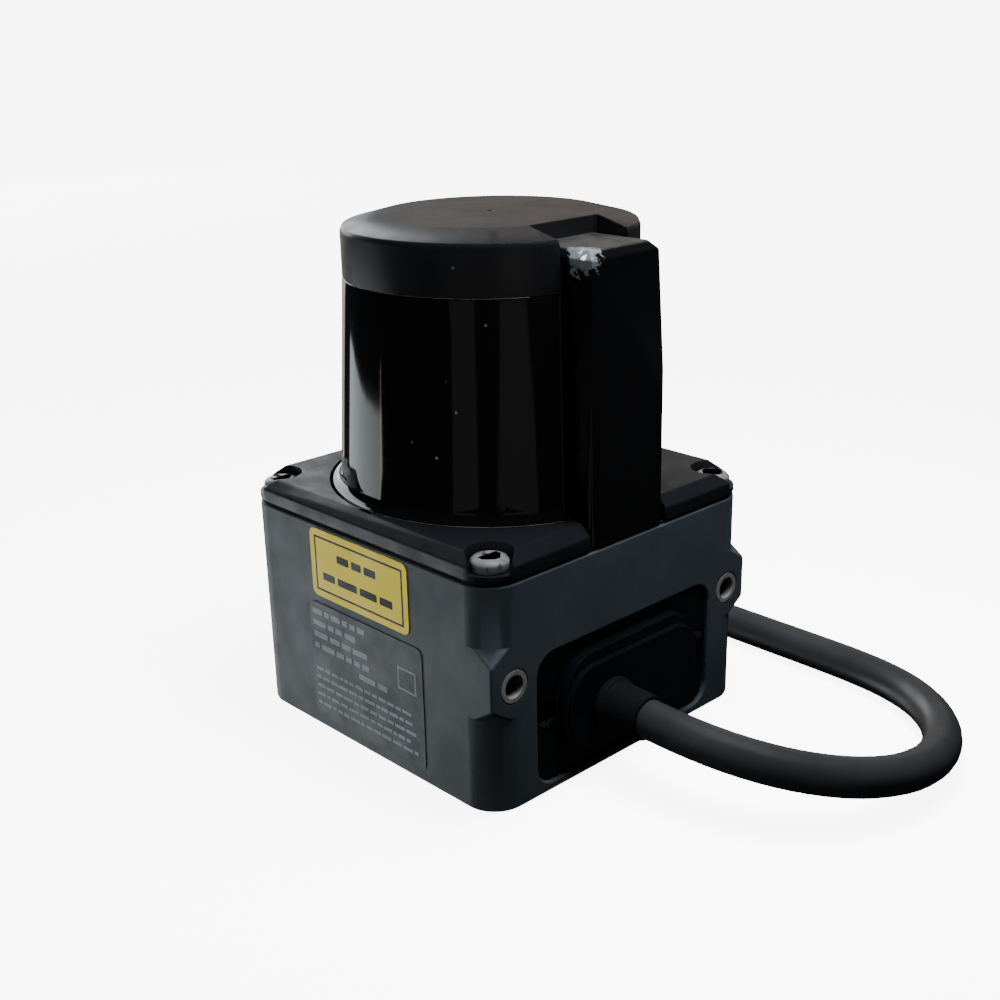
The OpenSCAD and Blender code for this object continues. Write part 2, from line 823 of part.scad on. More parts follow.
module outer_race(z) {
    color([0.74, 0.75, 0.77])
    translate([0, 0, z]) rotate_extrude($fn = round_fn)
        difference() {
            translate([ball_pitch_r + race_gap, 0]) square([bearing_r - ball_pitch_r - race_gap, bearing_h]);
            translate([ball_pitch_r, bearing_h / 2]) circle(groove_r, $fn = small_fn);
        }
}

module inner_race(z) {
    color([0.74, 0.75, 0.77])
    translate([0, 0, z]) rotate_extrude($fn = round_fn)
        difference() {
            translate([shaft_r, 0]) square([ball_pitch_r - race_gap - shaft_r, bearing_h]);
            translate([ball_pitch_r, bearing_h / 2]) circle(groove_r, $fn = small_fn);
        }
}

// Balls, and the cage that spaces them
module ball_cage(z) {
    color([0.8, 0.8, 0.82])
    translate([0, 0, z + bearing_h / 2])
        for (k = [0 : ball_count - 1])
            rotate([0, 0, 360 * k / ball_count])
                translate([ball_pitch_r, 0, 0]) sphere(ball_r, $fn = small_fn);
    color([0.72, 0.6, 0.32])
    translate([0, 0, z + bearing_h / 2])
        difference() {
            translate([0, 0, -1.3]) ring(ball_pitch_r - 0.3, ball_pitch_r + 0.3, 1.9);
            for (k = [0 : ball_count - 1])
                rotate([0, 0, 360 * k / ball_count])
                    translate([ball_pitch_r, 0, 0]) sphere(ball_r + 0.05, $fn = small_fn);
        }
}

module lower_outer_race() {
    outer_race(lower_bearing_z);
}

module upper_outer_race() {
    outer_race(upper_bearing_z);
}

module lower_inner_race() {
    inner_race(lower_bearing_z);
}

module upper_inner_race() {
    inner_race(upper_bearing_z);
}

module lower_ball_cage() {
    ball_cage(lower_bearing_z);
}

module upper_ball_cage() {
    ball_cage(upper_bearing_z);
}

// ---- rotor ---------------------------------------------------------------------------------------

module head_screw_places() {
    for (k = [0 : 2]) rotate([0, 0, 60 + 120 * k]) translate([10.2, 0, 0]) children();
}

module rotor_shaft() {
    color([0.7, 0.71, 0.73])
    difference() {
        rotate_extrude($fn = round_fn)
            polygon([
                [shaft_bore, lower_bearing_z + 0.2], [shaft_r, lower_bearing_z + 0.2], [shaft_r, hub_z],
                [hub_r, hub_z], [hub_r, hub_top], [shaft_bore, hub_top]
            ]);
        head_screw_places() translate([0, 0, hub_z - eps]) cylinder(r = 0.85, h = 3, $fn = small_fn);
    }
}

module rotor_bell() {
    color([0.5, 0.51, 0.53])
    difference() {
        rotate_extrude($fn = round_fn)
            polygon([
                [shaft_r, bell_disc_z], [bell_r0, bell_disc_z], [bell_r0, bell_z0], [bell_r1, bell_z0],
                [bell_r1, bell_top], [shaft_r, bell_top]
            ]);
        for (k = [0 : 5])
            rotate([0, 0, 60 * k])
                translate([14.5, 0, bell_disc_z - eps]) cylinder(r = 2, h = 3, $fn = small_fn);
    }
}

module magnet_ring() {
    color([0.25, 0.25, 0.27])
    translate([0, 0, bell_z0 + 0.2]) ring(magnet_r0, bell_r0, 6.4);
}

module encoder_disc() {
    slot_count = 36;
    color([0.12, 0.12, 0.12])
    translate([0, 0, bell_z0 - encoder_t]) difference() {
        ring(magnet_r0 + 0.4, encoder_r, encoder_t);
        for (k = [0 : slot_count - 1])
            rotate([0, 0, 360 * k / slot_count])
                translate([encoder_r - 0.9, -0.5, -eps]) cube([2, 1, 1]);
    }
}

// Head that carries both mirrors. Light from +X goes down through the lens in its foot.
module mirror_head() {
    color([0.07, 0.07, 0.075])
    difference() {
        union() {
            translate([0, 0, hub_top])
                cylinder(r = head_r + 0.4, h = head_base_top - hub_top, $fn = round_fn);
            difference() {
                translate([0, 0, head_base_top - eps])
                    cylinder(r = head_r, h = head_top - head_base_top, $fn = round_fn);
                translate([0, 0, rx_z + rx_mirror_t * sqrt(2)])
                    rotate([0, -45, 0]) translate([-20, -9.9, -40]) cube([60, 19.8, 40]);
            }
            difference() {
                translate([0, 0, head_top - eps])
                    cylinder(r = tx_column_r, h = tx_z + tx_column_r - head_top, $fn = small_fn);
                translate([0, 0, tx_z - tx_mirror_t * sqrt(2)])
                    rotate([0, 45, 0]) translate([-10, -10, 0]) cube([20, 20, 20]);
            }
        }
        translate([0, 0, hub_top - eps]) cylinder(r = lens_seat_r, h = 2.2, $fn = round_fn);
        head_screw_places() {
            translate([0, 0, hub_top - eps]) cylinder(r = 0.9, h = 3, $fn = small_fn);
            translate([0, 0, hub_top + 1]) cylinder(r = 1.6, h = 6, $fn = small_fn);
        }
    }
}

module head_screws() {
    color([0.66, 0.66, 0.66])
    head_screw_places() translate([0, 0, hub_top + 1]) pan_screw(1.45, 1, 0.8, 2.4);
}

// Plano-convex lens that gathers the returning light
module receive_lens() {
    dome_r = 14;
    lens_r = lens_seat_r - 0.05;
    edge = 0.9;
    sag = dome_r - sqrt(dome_r * dome_r - lens_r * lens_r);
    color([0.45, 0.5, 0.6])
    intersection() {
        translate([0, 0, hub_top]) cylinder(r = lens_r, h = 6, $fn = round_fn);
        translate([0, 0, hub_top + edge + sag - dome_r]) sphere(dome_r, $fn = round_fn);
    }
}

// Slab at 45 degrees, cut to a round outline as seen along the scan axis
module mirror_slab(z, tilt, r, t) {
    intersection() {
        translate([0, 0, z - 20]) cylinder(r = r, h = 40, $fn = small_fn);
        translate([0, 0, z]) rotate([0, tilt, 0])
            translate([-20, -20, tilt < 0 ? 0 : -t]) cube([40, 40, t]);
    }
}

module receive_mirror() {
    color([0.75, 0.78, 0.82]) mirror_slab(rx_z, -45, rx_mirror_r, rx_mirror_t);
}

module send_mirror() {
    color([0.75, 0.78, 0.82]) mirror_slab(tx_z, 45, tx_mirror_r, tx_mirror_t);
}

// Disc that keeps the sent light out of the receiver
module light_baffle() {
    color([0.04, 0.04, 0.04])
    translate([0, 0, head_top]) ring(tx_column_r, baffle_r, baffle_t);
}

// ---- laser in the cap ----------------------------------------------------------------------------

module collimator() {
    color([0.68, 0.6, 0.36])
    rotate_extrude($fn = small_fn)
        polygon([
            [2.2, collimator_z0], [collimator_r - 0.6, collimator_z0], [collimator_r - 0.6, 64.4],
            [collimator_r, 64.4], [collimator_r, laser_board_z], [2.95, laser_board_z],
            [2.95, 65.2], [2.2, 65.2], [2.2, 64.8], [2.6, 64.8], [2.6, 63.2], [2.2, 63.2]
        ]);
}

module collimator_lens() {
    color([0.5, 0.55, 0.62])
    intersection() {
        translate([0, 0, 63.25]) cylinder(r = 2.55, h = 1.5, $fn = small_fn);
        translate([0, 0, 67.25]) sphere(4, $fn = round_fn);
    }
}

module laser_diode() {
    color([0.72, 0.64, 0.4])
    rotate_extrude($fn = small_fn)
        polygon([
            [0, laser_board_z], [2.85, laser_board_z], [2.85, laser_board_z - 1.1],
            [1.9, laser_board_z - 1.1], [1.9, 65.1], [0, 65.1]
        ]);
}

module laser_board() {
    color([0.05, 0.3, 0.18])
    translate([0, 0, laser_board_z]) difference() {
        cylinder(r = laser_board_r, h = 0.8, $fn = round_fn);
        for (side = [-1, 1])
            translate([0, side * 10.4, -eps]) cylinder(r = 0.9, h = 2, $fn = small_fn);
    }
}

module laser_board_screws() {
    color([0.66, 0.66, 0.66])
    for (side = [-1, 1])
        translate([0, side * 10.4, laser_board_z]) rotate([180, 0, 0]) pan_screw(1.45, 0.9, 0.8, 2);
}

// Flat cable from the laser board, down the spine to the main board
module flex_cable() {
    flex_w = 7;
    t = 0.2;
    x_wall = -22.75;
    board_z = laser_board_z - t / 2 - 0.05;
    path = [
        [-7, board_z], [-11.4, board_z], [-11.8, 66.4], [-11.8, 61.8],
        [-12.6, 61.1], [-22, 60.4], [x_wall, 59.6], [x_wall, 22.6], [-22, 21.6], [-18.9, 21.4],
        [-18.4, 20.8], [-18.4, 17.7]
    ];
    color([0.78, 0.5, 0.15])
    rotate([90, 0, 0])
        linear_extrude(height = flex_w, center = true)
            for (i = [0 : len(path) - 2])
                let (a = path[i], b = path[i + 1], d = b - a)
                translate(a) rotate(atan2(d[1], d[0]))
                    translate([-t / 2, -t / 2]) square([norm(d) + t, t]);
}

module flex_connector() {
    color([0.85, 0.83, 0.78])
    translate([-19.6, -4.4, main_board_z + board_t]) cube([2.4, 8.8, 2.2]);
}

// ---- cable and plug -------------------------------------------------------------------------------

module cable_run() {
    color([0.16, 0.17, 0.18]) tube(run_points, cable_r);
}

module cable_coil() {
    color([0.16, 0.17, 0.18])
    translate([coil_x, coil_y, 0]) rotate_extrude($fn = round_fn)
        translate([coil_r, (coil_low + coil_high) / 2])
            rounded_rect(2 * cable_d, coil_high - coil_low, cable_r - 0.1);
}

module cable_end() {
    color([0.16, 0.17, 0.18]) tube(end_points, cable_r);
}

// Band around the turns of the coil
module cable_tie() {
    band_w = 5;
    gap = 0.05;
    inner = 2 * cable_d + 2 * gap;
    outer = inner + 2 * (tie_t - gap);
    color([0.1, 0.1, 0.1])
    translate([coil_x, coil_y, 0]) rotate([0, 0, 225])
        translate([coil_r, 0, (coil_low + coil_high) / 2]) rotate([90, 0, 0])
            linear_extrude(height = band_w, center = true)
                difference() {
                    rounded_rect(outer, outer, cable_r + 0.4);
                    rounded_rect(inner, inner, cable_r - 0.1);
                }
}

// Round cable plug, lying along +X from the point where the cable enters it
module at_plug() {
    translate(end_points[len(end_points) - 1]) rotate([0, 90, 0]) children();
}

module plug_body() {
    color([0.05, 0.05, 0.05])
    at_plug() difference() {
        rotate_extrude($fn = small_fn)
            polygon([
                [0, 0], [cable_r + 0.5, 0], [cable_r + 1.1, 7], [4.4, 9], [5.2, 10], [5.2, 21.6],
                [4.1, 21.6], [4.1, 23], [5, 23], [5, 24.6], [4.3, 24.6], [4.3, 32], [0, 32]
            ]);
        translate([0, 0, 25.5]) cylinder(r = 3.6, h = 10, $fn = small_fn);
    }
}

// Contact carrier with its pins
module plug_insert() {
    pin_count = 5;
    color([0.75, 0.62, 0.3])
    at_plug() {
        translate([0, 0, 25.5]) cylinder(r = 3.55, h = 1.6, $fn = small_fn);
        for (k = [0 : pin_count - 1])
            rotate([0, 0, 360 * k / pin_count])
                translate([2.1, 0, 27.1 - eps]) cylinder(r = 0.4, h = 4.4, $fn = 24);
        translate([0, 0, 27.1 - eps]) cylinder(r = 0.4, h = 4.4, $fn = 24);
    }
}

// Coupling nut, free to turn around the plug
module plug_nut() {
    rib_count = 20;
    color([0.66, 0.66, 0.64])
    at_plug() difference() {
        union() {
            translate([0, 0, 21.8]) cylinder(r = nut_r - 0.3, h = 13.2, $fn = small_fn);
            translate([0, 0, 22.6]) linear_extrude(height = 7)
                for (k = [0 : rib_count - 1]) rotate(360 * k / rib_count)
                    translate([nut_r - 0.7, 0]) circle(0.7, $fn = 16);
        }
        translate([0, 0, 21]) cylinder(r = 4.2, h = 3, $fn = small_fn);
        translate([0, 0, 22.9]) cylinder(r = 5.08, h = 20, $fn = small_fn);
    }
}

// ---- assembly -------------------------------------------------------------------------------------

base_housing();
lug_inserts();
window_gasket();
top_flange();
scan_window();
cover_screws();
top_cap();
warning_label();
data_label();
rear_panel();
panel_gasket();
panel_screws();
strain_relief();
interface_board();
interface_parts();
cable_header();
inner_leads();
lower_spacers();
main_board();
main_board_parts();
upper_spacers();
motor_base();
stack_screws();
detector_board();
photodetector();
stator_core();
stator_coils();
encoder_sensor();
lower_outer_race();
upper_outer_race();
lower_inner_race();
upper_inner_race();
lower_ball_cage();
upper_ball_cage();
rotor_shaft();
rotor_bell();
magnet_ring();
encoder_disc();
mirror_head();
head_screws();
receive_lens();
receive_mirror();
light_baffle();
send_mirror();
collimator();
collimator_lens();
laser_diode();
laser_board();
laser_board_screws();
flex_cable();
flex_connector();
cable_run();
cable_coil();
cable_end();
cable_tie();
plug_body();
plug_insert();
plug_nut();
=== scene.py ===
"""Looks for the scanning lidar module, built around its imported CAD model. Lengths are in metres."""

import json
import math
import random

import bmesh
import bpy
from mathutils import Matrix, Vector
from mathutils.kdtree import KDTree


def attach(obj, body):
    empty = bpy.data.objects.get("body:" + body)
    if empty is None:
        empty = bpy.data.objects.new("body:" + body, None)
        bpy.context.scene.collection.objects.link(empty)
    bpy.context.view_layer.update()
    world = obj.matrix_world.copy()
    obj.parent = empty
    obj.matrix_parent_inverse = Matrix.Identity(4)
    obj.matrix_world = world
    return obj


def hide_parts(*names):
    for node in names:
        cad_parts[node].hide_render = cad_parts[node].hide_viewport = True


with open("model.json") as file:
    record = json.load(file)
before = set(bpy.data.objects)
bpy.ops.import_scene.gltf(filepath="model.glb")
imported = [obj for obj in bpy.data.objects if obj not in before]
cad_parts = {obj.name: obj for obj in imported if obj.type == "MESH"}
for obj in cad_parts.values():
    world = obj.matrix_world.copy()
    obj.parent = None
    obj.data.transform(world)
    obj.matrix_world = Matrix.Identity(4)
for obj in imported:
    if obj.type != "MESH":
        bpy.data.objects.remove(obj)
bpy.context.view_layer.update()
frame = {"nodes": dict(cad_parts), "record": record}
NODES = frame["nodes"]
MM = 0.001


# ---- camera --------------------------------------------------------------------

CAMERA_PLACE = (-0.13474, 0.12634, 0.09643)
CAMERA_AZIMUTH = 226.68
CAMERA_ELEVATION = 19.75
CAMERA_ROLL = -1.255
CAMERA_LENS = 49.74


def make_camera():
    """Camera at the photograph's angle, turned by azimuth, elevation and a small roll."""
    data = bpy.data.cameras.new("camera")
    data.lens = CAMERA_LENS
    data.sensor_width = 36
    data.clip_start = 0.005
    data.clip_end = 20
    camera = bpy.data.objects.new("camera", data)
    bpy.context.scene.collection.objects.link(camera)
    azimuth, elevation = math.radians(CAMERA_AZIMUTH), math.radians(CAMERA_ELEVATION)
    turn = (
        Matrix.Rotation(azimuth, 4, "Z")
        @ Matrix.Rotation(math.pi / 2 - elevation, 4, "X")
        @ Matrix.Rotation(math.radians(CAMERA_ROLL), 4, "Z")
    )
    camera.matrix_world = Matrix.Translation(CAMERA_PLACE) @ turn
    bpy.context.scene.camera = camera


# ---- cable -----------------------------------------------------------------------

CABLE_D = 5.2 * MM
# The route's points in millimetres, as the CAD has them
RUN = [
    (-33, 5, 9.7), (-38.5, 5, 9.5), (-46.8, 3.3, 8.7), (-53.8, -1.4, 7.3), (-58.6, -8.4, 5.7),
    (-60.2, -16.7, 4.3), (-58.6, -25, 3.4), (-53.8, -32, 2.9), (-46.8, -36.8, 2.7), (-38.5, -38.4, 2.7),
    (-28, -38.4, 2.7), (-17, -38.4, 2.7), (-8, -38.4, 2.7), (-0.5, -38.4, 2.7), (7.6, -39.7, 2.8),
    (14.8, -43.4, 2.9), (20.5, -49.3, 3.1), (24.1, -56.6, 3.2),
]
END = [(25.4, -59.2, 14.3), (31.1, -66.5, 15), (37.9, -70.7, 15.7), (44.4, -72.5, 16.1), (50, -73, 16.2)]
COIL_CENTRE = Vector((51.4, -48.2, 0)) * MM
OUTER, INNER = 28.6, 23.4
LOWER, UPPER = 3.2, 8.4
COIL_START = 197
# Turned angle where each crossing ends, and the radius and height it leads to
CROSSINGS = [(557, INNER, LOWER), (889, INNER, UPPER), (1216, OUTER, UPPER)]
CROSSING_ARC = 100
LIFT_START = 1443
LIFT_END = 1623
LIFT = 5.3
COIL_STEP = 5


def refined(points):
    """The points with one more between each pair, on a smooth curve through them."""
    out = []
    for i in range(len(points) - 1):
        before, after = points[max(i - 1, 0)], points[min(i + 2, len(points) - 1)]
        a, b = points[i], points[i + 1]
        out += [a, (9 * (a + b) - before - after) / 16]
    return out + [points[-1]]


def eased(share):
    return 0.5 - 0.5 * math.cos(math.pi * min(max(share, 0), 1))


def coil_points():
    """Three and a half turns in four lanes, then one that lifts off and lies over them."""
    points = []
    for turned in range(COIL_START + COIL_STEP, LIFT_END + 1, COIL_STEP):
        radius, height = OUTER, LOWER
        for end, next_radius, next_height in CROSSINGS:
            share = eased((turned - end + CROSSING_ARC) / CROSSING_ARC)
            radius += share * (next_radius - radius)
            height += share * (next_height - height)
        height += LIFT * eased((turned - LIFT_START) / CROSSING_ARC)
        angle = math.radians(turned)
        points.append(COIL_CENTRE + Vector((radius * math.cos(angle), radius * math.sin(angle), height)) * MM)
    return points


def softened(points, rounds=12):
    """The same route with its small kinks averaged out; both ends keep their direction."""
    for _ in range(rounds):
        inner = [(a + 2 * b + c) / 4 for a, b, c in zip(points[1:-3], points[2:-2], points[3:-1])]
        points = points[:2] + inner + points[-2:]
    return points


def tube(name, points, radii, sides=8):
    """A mesh tube along the points, made from a curve with one radius at each point."""
    data = bpy.data.curves.new(name, "CURVE")
    data.dimensions = "3D"
    data.bevel_depth = 1
    data.bevel_resolution = sides
    data.use_fill_caps = True
    spline = data.splines.new("POLY")
    spline.points.add(len(points) - 1)
    for place, point, radius in zip(spline.points, points, radii):
        place.co = (*point, 1)
        place.radius = radius
    spline.use_smooth = True
    curve = bpy.data.objects.new(name + "_curve", data)
    bpy.context.scene.collection.objects.link(curve)
    mesh = bpy.data.meshes.new_from_object(curve.evaluated_get(bpy.context.evaluated_depsgraph_get()))
    bpy.data.objects.remove(curve)
    return add_piece(name, mesh)


def add_piece(name, mesh):
    made = bpy.data.objects.new(name, mesh)
    bpy.context.scene.collection.objects.link(made)
    return made


def make_cable():
    run = refined(refined([Vector(p) * MM for p in RUN]))
    turns = coil_points()
    end = refined(refined([turns[-1]] + [Vector(p) * MM for p in END]))
    points = softened(run + turns + end[1:])
    cable = tube("cable", points, [CABLE_D / 2] * len(points))
    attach(cable, "housing")
    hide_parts("cable_run", "cable_coil", "cable_end")
    return cable


# ---- materials -------------------------------------------------------------------------

MATERIALS = {}


class Nodes:
    """Short calls that add shader nodes to one material and link them up."""

    def __init__(self, name):
        self.material = bpy.data.materials.new(name)
        self.material.use_nodes = True
        self.tree = self.material.node_tree
        self.tree.nodes.clear()
        self.out = self.add("ShaderNodeOutputMaterial")
        self.surface = self.add("ShaderNodeBsdfPrincipled")
        self.link(self.surface.outputs["BSDF"], self.out.inputs["Surface"])
        self.place = self.add("ShaderNodeTexCoord").outputs["Object"]

    def add(self, kind, **values):
        node = self.tree.nodes.new(kind)
        for key, value in values.items():
            setattr(node, key, value)
        return node

    def link(self, source, target):
        self.tree.links.new(source, target)

    def put(self, socket, value):
        if isinstance(value, bpy.types.NodeSocket):
            self.link(value, socket)
        elif isinstance(value, (tuple, list)) and len(value) == 3 and socket.type == "RGBA":
            socket.default_value = (*value, 1)
        else:
            socket.default_value = value

    def set(self, **values):
        for key, value in values.items():
            self.put(self.surface.inputs[key.replace("_", " ")], value)

    def stretched(self, scale):
        mapping = self.add("ShaderNodeMapping")
        self.link(self.place, mapping.inputs["Vector"])
        mapping.inputs["Scale"].default_value = scale
        return mapping.outputs["Vector"]

    def noise(self, scale, detail=3, roughness=0.55, at=None):
        node = self.add("ShaderNodeTexNoise")
        self.link(at or self.place, node.inputs["Vector"])
        node.inputs["Scale"].default_value = scale
        node.inputs["Detail"].default_value = detail
        node.inputs["Roughness"].default_value = roughness
        return node.outputs["Fac"]

    def spots(self, scale, at=None):
        node = self.add("ShaderNodeTexVoronoi")
        self.link(at or self.place, node.inputs["Vector"])
        node.inputs["Scale"].default_value = scale
        return node.outputs["Distance"]

    def ramp(self, value, low, high, start=0.0, end=1.0):
        node = self.add("ShaderNodeMapRange")
        node.interpolation_type = "SMOOTHSTEP"
        self.put(node.inputs["Value"], value)
        for key, number in (("From Min", low), ("From Max", high), ("To Min", start), ("To Max", end)):
            node.inputs[key].default_value = number
        return node.outputs["Result"]

    def maths(self, operation, a, b=0.0):
        node = self.add("ShaderNodeMath", operation=operation)
        self.put(node.inputs[0], a)
        self.put(node.inputs[1], b)
        return node.outputs[0]

    def mix(self, share, a, b):
        node = self.add("ShaderNodeMix", data_type="RGBA")
        self.put(node.inputs[0], share)
        self.put(node.inputs[6], a)
        self.put(node.inputs[7], b)
        return node.outputs[2]

    def bump(self, height, distance, strength=1.0, under=None):
        node = self.add("ShaderNodeBump")
        node.inputs["Strength"].default_value = strength
        node.inputs["Distance"].default_value = distance
        self.link(height, node.inputs["Height"])
        if under is not None:
            self.link(under, node.inputs["Normal"])
        return node.outputs["Normal"]

    def height(self):
        split = self.add("ShaderNodeSeparateXYZ")
        self.link(self.place, split.inputs[0])
        return split.outputs["Z"]

    def distance(self, point):
        node = self.add("ShaderNodeVectorMath", operation="DISTANCE")
        self.link(self.place, node.inputs[0])
        node.inputs[1].default_value = [c * MM for c in point]
        return node.outputs["Value"]

    def edges(self, radius):
        """1 on sharp edges and 0 on flats, from how far a rounded normal turns there."""
        rounded = self.add("ShaderNodeBevel", samples=6)
        rounded.inputs["Radius"].default_value = radius
        flat = self.add("ShaderNodeNewGeometry").outputs["Normal"]
        dot = self.add("ShaderNodeVectorMath", operation="DOT_PRODUCT")
        self.link(rounded.outputs["Normal"], dot.inputs[0])
        self.link(flat, dot.inputs[1])
        return self.maths("SUBTRACT", 1.0, dot.outputs["Value"])


def material(name):
    """Registers a function that builds the material of one slot."""

    def keep(build):
        def made():
            if name not in MATERIALS:
                nodes = Nodes(name)
                build(nodes)
                MATERIALS[name] = nodes.material
            return MATERIALS[name]

        BUILDERS[name] = made
        return made

    return keep


BUILDERS = {}


def painted(n, colour, metal, rough, grain, chips):
    """Satin paint: orange peel, a little colour drift, and chips along the edges."""
    drift = n.noise(60, 4)
    base = n.mix(n.ramp(drift, 0.35, 0.7), colour, [c * 1.35 for c in colour])
    patches = n.ramp(n.noise(420, 5, 0.7), chips, chips + 0.04)
    wear = n.maths("MULTIPLY", n.ramp(n.edges(0.5 * MM), 0.03, 0.2), patches)
    scratches = n.ramp(n.noise(260, 6, 0.8, n.stretched((1, 1, 0.04))), 0.74, 0.78, 0, 0.12)
    marks = n.maths("MAXIMUM", wear, scratches)
    n.set(Base_Color=n.mix(marks, base, metal), Metallic=n.maths("MULTIPLY", wear, 0.7))
    n.set(Roughness=n.ramp(n.noise(180, 4), 0.2, 0.8, rough - 0.06, rough + 0.08))
    peel = n.bump(n.noise(grain, 3), 0.03 * MM, 0.5)
    n.set(Normal=n.bump(n.maths("MULTIPLY", wear, -1.0), 0.05 * MM, 0.8, peel))


@material("housing_paint")
def housing_paint(n):
    painted(n, [0.024, 0.030, 0.035], [0.16, 0.17, 0.18], 0.46, 1500, 0.6)


@material("panel_paint")
def panel_paint(n):
    painted(n, [0.0015, 0.002, 0.0026], [0.12, 0.13, 0.14], 0.42, 1600, 0.66)


@material("flange_paint")
def flange_paint(n):
    """Fine cast grain on satin black."""
    colour = [0.004, 0.0045, 0.0055]
    grain = n.noise(3200, 4, 0.7)
    dust = n.ramp(n.noise(900, 5, 0.75), 0.66, 0.74, 0, 0.35)
    n.set(Base_Color=n.mix(dust, colour, [0.05, 0.05, 0.052]))
    n.set(Roughness=n.ramp(n.noise(240, 4), 0.3, 0.7, 0.34, 0.5))
    n.set(Normal=n.bump(grain, 0.05 * MM, 0.55))


# The spine's top corner on the label side, which is worn
SPINE_CORNER = (-22.2, 6.2, 68.4)


@material("window_black")
def window_black(n):
    """Infrared plastic: near black and glossy, with dust, fine scratches, a worn top corner and a top face
    painted lighter, partly handling wear and partly a painted sheen.
    """
    dust = n.ramp(n.spots(420), 0.1, 0.06, 0, 1)
    few = n.ramp(n.noise(95, 4), 0.56, 0.66)
    specks = n.maths("MULTIPLY", dust, few)
    scratch = n.ramp(n.noise(380, 3, 0.7, n.stretched((1, 1, 0.03))), 0.76, 0.79, 0, 1)
    faint = n.maths("MULTIPLY", scratch, n.ramp(n.noise(50, 3), 0.5, 0.62, 0, 0.5))
    marks = n.maths("MAXIMUM", specks, faint)
    # The top face above 68.3 mm is painted lighter: partly handling wear, partly a painted sheen standing in
    # for the lamps' reflection there
    on_top = n.ramp(n.height(), 68.3 * MM, 68.6 * MM)
    top_wear_and_sheen = n.maths("MULTIPLY", on_top, n.ramp(n.noise(500, 5, 0.7), 0.3, 0.6, 0.5, 1))
    ragged = n.ramp(n.noise(800, 5, 0.75), 0.3, 0.7, -1.1 * MM, 1.1 * MM)
    reach = n.maths("ADD", n.distance(SPINE_CORNER), ragged)
    abraded = n.ramp(reach, 2.6 * MM, 2.2 * MM)
    torn = n.ramp(reach, 0.7 * MM, 0.3 * MM)
    colour = n.mix(marks, [0.0012, 0.0012, 0.0014], [0.12, 0.12, 0.12])
    colour = n.mix(top_wear_and_sheen, colour, [0.013, 0.0125, 0.012])
    colour = n.mix(abraded, colour, [0.05, 0.056, 0.062])
    n.set(Base_Color=n.mix(torn, colour, [0.5, 0.5, 0.5]))
    rough = n.maths("MAXIMUM", marks, n.maths("MAXIMUM", top_wear_and_sheen, abraded))
    n.set(Roughness=n.ramp(rough, 0, 1, 0.07, 0.5), IOR=1.5)
    waves = n.bump(n.noise(110, 3), 0.02 * MM, 0.25)
    n.set(Normal=n.bump(n.maths("MULTIPLY", abraded, n.noise(1500, 4, 0.7)), 0.12 * MM, 0.8, waves))


@material("cap_black")
def cap_black(n):
    """Turned satin black, with faint rings round its axis."""
    rings = n.add("ShaderNodeTexWave", wave_type="RINGS", rings_direction="Z")
    n.link(n.place, rings.inputs["Vector"])
    rings.inputs["Scale"].default_value = 900
    rings.inputs["Distortion"].default_value = 1.5
    dust = n.ramp(n.spots(380), 0.1, 0.05, 0, 0.7)
    few = n.maths("MULTIPLY", dust, n.ramp(n.noise(120, 4), 0.55, 0.65))
    n.set(Base_Color=n.mix(few, [0.004, 0.004, 0.0045], [0.1, 0.1, 0.1]))
    n.set(Roughness=n.ramp(n.noise(150, 4), 0.3, 0.7, 0.3, 0.42))
    fine = n.bump(rings.outputs["Fac"], 0.004 * MM, 0.4)
    n.set(Normal=n.bump(n.noise(1800, 3), 0.01 * MM, 0.4, fine))


def moulded(n, colour, rough, grain=1400, lift=0.02, spread=1.3):
    """Moulded plastic or rubber with a fine grain and a little colour drift."""
    n.set(Base_Color=n.mix(n.ramp(n.noise(90, 4), 0.35, 0.7), colour, [min(1, c * spread) for c in colour]))
    n.set(Roughness=n.ramp(n.noise(300, 3), 0.3, 0.7, rough - 0.05, rough + 0.07))
    n.set(Normal=n.bump(n.noise(grain, 3), lift * MM, 0.5))


def worked(n, colour, rough, along=(1, 1, 12), shine=1.0):
    """Metal with fine tool marks."""
    marks = n.noise(900, 4, 0.6, n.stretched(along))
    tone = n.ramp(n.noise(300, 4), 0.3, 0.7)
    n.set(Metallic=shine, Base_Color=n.mix(tone, colour, [c * 0.7 for c in colour]))
    n.set(Roughness=n.ramp(marks, 0.3, 0.7, rough - 0.07, rough + 0.1))
    n.set(Normal=n.bump(marks, 0.006 * MM, 0.5))


@material("seal_rubber")
def seal_rubber(n):
    moulded(n, [0.004, 0.004, 0.004], 0.8)


@material("relief_rubber")
def relief_rubber(n):
    moulded(n, [0.003, 0.003, 0.0035], 0.66, 2200, 0.015)


@material("cable_jacket")
def cable_jacket(n):
    """Extruded jacket: a slight sheen with a faint drift in colour and a fine grain."""
    moulded(n, [0.012, 0.0125, 0.0135], 0.4, 900, 0.012)


@material("screw_zinc")
def screw_zinc(n):
    """Zinc plate gone dull, with dirt in random patches."""
    dirt = n.ramp(n.noise(700, 5, 0.7), 0.5, 0.7)
    n.set(Metallic=0.55, Base_Color=n.mix(dirt, [0.16, 0.165, 0.165], [0.05, 0.05, 0.046]))
    n.set(Roughness=n.ramp(dirt, 0, 1, 0.3, 0.6))
    n.set(Normal=n.bump(n.noise(1500, 4), 0.02 * MM, 0.5))


@material("screw_black")
def screw_black(n):
    worked(n, [0.035, 0.035, 0.037], 0.42, (1, 1, 1), 0.6)


@material("insert_steel")
def insert_steel(n):
    worked(n, [0.34, 0.33, 0.31], 0.34, (10, 1, 1), 0.6)


@material("label_yellow")
def label_yellow(n):
    moulded(n, [0.88, 0.66, 0.0], 0.42, 700, 0.006, 1.12)


@material("label_dark")
def label_dark(n):
    moulded(n, [0.012, 0.0135, 0.016], 0.4, 900, 0.006)


@material("label_print_black")
def label_print_black(n):
    moulded(n, [0.01, 0.01, 0.01], 0.5, 900, 0.004)


@material("label_print_grey")
def label_print_grey(n):
    moulded(n, [0.2, 0.21, 0.22], 0.5, 900, 0.004)
